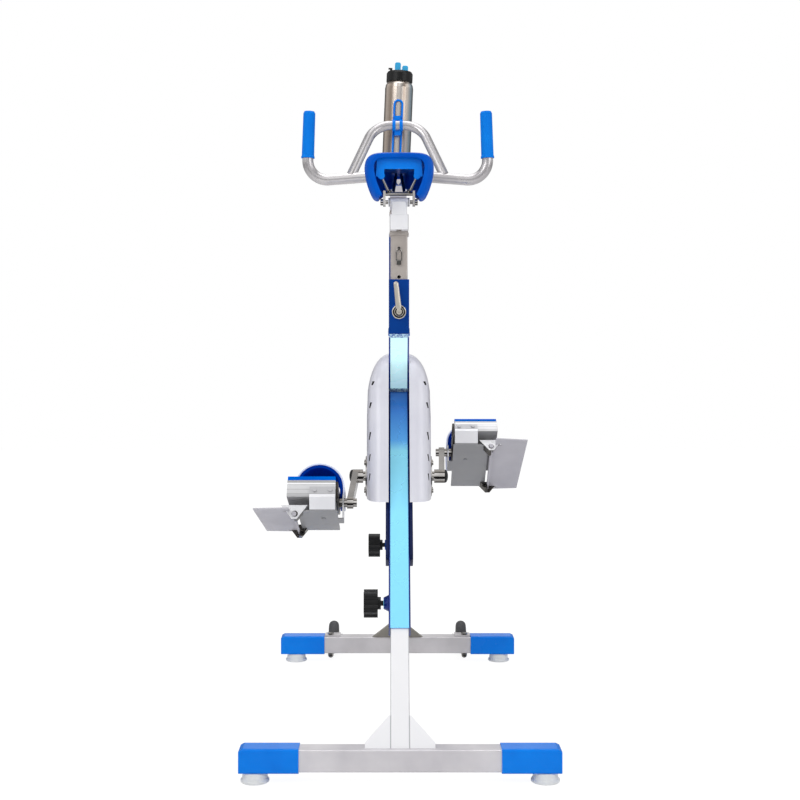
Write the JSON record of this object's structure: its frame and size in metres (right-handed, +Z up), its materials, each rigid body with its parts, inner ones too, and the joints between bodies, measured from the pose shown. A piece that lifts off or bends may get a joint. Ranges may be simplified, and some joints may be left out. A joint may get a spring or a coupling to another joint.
{
  "type": "aqua bike",
  "caption": "Pool exercise bike with a crossed square-tube frame, telescopic legs on stabiliser bars, finned pedals with foot straps, and an adjustable saddle and handlebar.",
  "frame": {"origin": "on the floor under the middle of the bike's bounding box", "axes": "+Y forwards, the way the rider faces; +X to the rider's right; +Z up"},
  "size_m": [0.58, 1.0334, 1.5022],
  "materials": {
    "blue_tube": "anodised",
    "bush": "matte",
    "stainless": "polished",
    "white_cover": "satin",
    "bright_alu": "satin",
    "blue_plastic": "gloss",
    "clear_foot": "translucent",
    "black_plastic": "satin",
    "wheel_rubber": "matte",
    "strap_rubber": "satin",
    "grey_plate": "satin",
    "saddle_skin": "satin",
    "grip_rubber": "matte",
    "spout_blue": "gloss"
  },
  "bodies": {
    "frame": {"main_beam": "blue_tube", "front_beam": "blue_tube", "saddle_strut": "blue_tube", "saddle_tube": "blue_tube", "handlebar_tube": "blue_tube", "crank_housing": "blue_tube", "crank_bushes": "bush", "bearing_flanges": "stainless", "cover_left": "white_cover", "cover_right": "white_cover", "cover_screws": "stainless"},
    "rear_stand": {"rear_leg": "bright_alu", "rear_bar": "bright_alu", "rear_end_caps": "blue_plastic", "rear_feet": "clear_foot"},
    "front_stand": {"front_leg": "bright_alu", "front_bar": "bright_alu", "front_end_caps": "blue_plastic", "front_feet": "clear_foot", "wheel_brackets": "stainless", "wheel_axles": "stainless"},
    "left_wheel": {"wheel_left": "wheel_rubber"},
    "right_wheel": {"wheel_right": "wheel_rubber"},
    "rear_knob": {"rear_leg_knob": "black_plastic"},
    "front_knob": {"front_leg_knob": "black_plastic"},
    "crank": {"crank_axle": "stainless", "crank_left": "stainless", "crank_right": "stainless", "crank_caps": "black_plastic", "pedal_axles": "stainless"},
    "left_pedal": {"pedal_left": "bright_alu", "tread_left": "blue_plastic", "strap_left": "strap_rubber", "paddle_left": "grey_plate", "wing_brackets_left": "stainless"},
    "right_pedal": {"pedal_right": "bright_alu", "tread_right": "blue_plastic", "strap_right": "strap_rubber", "paddle_right": "grey_plate", "wing_brackets_right": "stainless"},
    "left_wing": {"wing_left": "grey_plate"},
    "right_wing": {"wing_right": "grey_plate"},
    "saddle_mast": {"saddle_post": "bright_alu"},
    "saddle_clamp_lever": {"saddle_lever": "stainless"},
    "hanging_clip": {"post_clip": "stainless"},
    "saddle_carriage": {"saddle_slider": "bright_alu", "saddle_head": "bright_alu"},
    "seat": {"saddle_clamp": "stainless", "saddle_rails": "stainless", "saddle_pan": "blue_plastic", "saddle": "saddle_skin"},
    "handlebar_mast": {"handlebar_post": "bright_alu"},
    "handlebar_clamp_lever": {"handlebar_lever": "stainless"},
    "handlebar_carriage": {"handlebar_slider": "bright_alu", "handlebar": "bright_alu", "grips": "grip_rubber", "bottle_cage": "blue_plastic"},
    "bottle": {"bottle": "stainless"},
    "cap": {"bottle_cap": "black_plastic"},
    "spout": {"bottle_spout": "spout_blue"}
  },
  "joints": [
    {"name": "rear_leg_slide", "type": "slide", "parent": "frame", "child": "rear_stand", "axis": [0, -0.5519, -0.8339], "range_m": [-0.1, 0.1]},
    {"name": "front_leg_slide", "type": "slide", "parent": "frame", "child": "front_stand", "axis": [0, 0.5864, -0.81], "range_m": [-0.1, 0.12]},
    {"name": "left_wheel_roll", "type": "hinge", "parent": "front_stand", "child": "left_wheel", "pos_m": [-0.162, 0.47568, 0.0426], "axis": [1, 0, 0], "continuous": true},
    {"name": "right_wheel_roll", "type": "hinge", "parent": "front_stand", "child": "right_wheel", "pos_m": [0.162, 0.47568, 0.0426], "axis": [1, 0, 0], "continuous": true},
    {"name": "rear_knob_turn", "type": "hinge", "parent": "frame", "child": "rear_knob", "pos_m": [-0.04, -0.32715, 0.28807], "axis": [1, 0, 0], "range_deg": [0, 360]},
    {"name": "front_knob_turn", "type": "hinge", "parent": "frame", "child": "front_knob", "pos_m": [-0.04, 0.20744, 0.319], "axis": [1, 0, 0], "range_deg": [0, 360]},
    {"name": "crank_spin", "type": "hinge", "parent": "frame", "child": "crank", "pos_m": [0, -0.06112, 0.507], "axis": [1, 0, 0], "continuous": true},
    {"name": "left_pedal_spin", "type": "hinge", "parent": "crank", "child": "left_pedal", "pos_m": [-0.1715, -0.22709, 0.4702], "axis": [1, 0, 0], "continuous": true},
    {"name": "left_wing_fold", "type": "hinge", "parent": "left_pedal", "child": "left_wing", "pos_m": [-0.204, -0.24285, 0.42913], "axis": [0, -0.9336, 0.3584], "range_deg": [0, 80]},
    {"name": "right_pedal_spin", "type": "hinge", "parent": "crank", "child": "right_pedal", "pos_m": [0.1715, 0.10485, 0.5438], "axis": [1, 0, 0], "continuous": true},
    {"name": "right_wing_fold", "type": "hinge", "parent": "right_pedal", "child": "right_wing", "pos_m": [0.204, 0.07657, 0.51009], "axis": [0, 0.766, -0.6428], "range_deg": [0, 80]},
    {"name": "saddle_height", "type": "slide", "parent": "frame", "child": "saddle_mast", "axis": [0, 0, 1], "range_m": [0, 0.045]},
    {"name": "saddle_lever_turn", "type": "hinge", "parent": "frame", "child": "saddle_clamp_lever", "pos_m": [0, -0.18112, 0.855], "axis": [0, 1, 0], "range_deg": [-90, 0]},
    {"name": "clip_swing", "type": "hinge", "parent": "saddle_mast", "child": "hanging_clip", "pos_m": [0, -0.17112, 0.986], "axis": [0, 1, 0], "range_deg": [-40, 40]},
    {"name": "saddle_reach", "type": "slide", "parent": "saddle_mast", "child": "saddle_carriage", "axis": [0, 1, 0], "range_m": [-0.06, 0.03]},
    {"name": "saddle_tilt", "type": "hinge", "parent": "saddle_carriage", "child": "seat", "pos_m": [0, -0.19062, 1.078], "axis": [1, 0, 0], "range_deg": [-8, 8]},
    {"name": "handlebar_height", "type": "slide", "parent": "frame", "child": "handlebar_mast", "axis": [0, 0, 1], "range_m": [-0.03, 0.06]},
    {"name": "handlebar_lever_turn", "type": "hinge", "parent": "frame", "child": "handlebar_clamp_lever", "pos_m": [0, 0.16888, 0.996], "axis": [0, 1, 0], "range_deg": [0, 90]},
    {"name": "handlebar_reach", "type": "slide", "parent": "handlebar_mast", "child": "handlebar_carriage", "axis": [0, 1, 0], "range_m": [-0.04, 0.02]},
    {"name": "bottle_lift", "type": "slide", "parent": "handlebar_carriage", "child": "bottle", "axis": [0.0419, 0, 0.9991], "range_m": [0, 0.16]},
    {"name": "bottle_cap_turn", "type": "hinge", "parent": "bottle", "child": "cap", "pos_m": [0.00494, 0.44467, 1.4529], "axis": [0.0419, 0, 0.9991], "range_deg": [0, 360]},
    {"name": "spout_pull", "type": "slide", "parent": "cap", "child": "spout", "axis": [0.0419, 0, 0.9991], "range_m": [0, 0.005]}
  ]
}
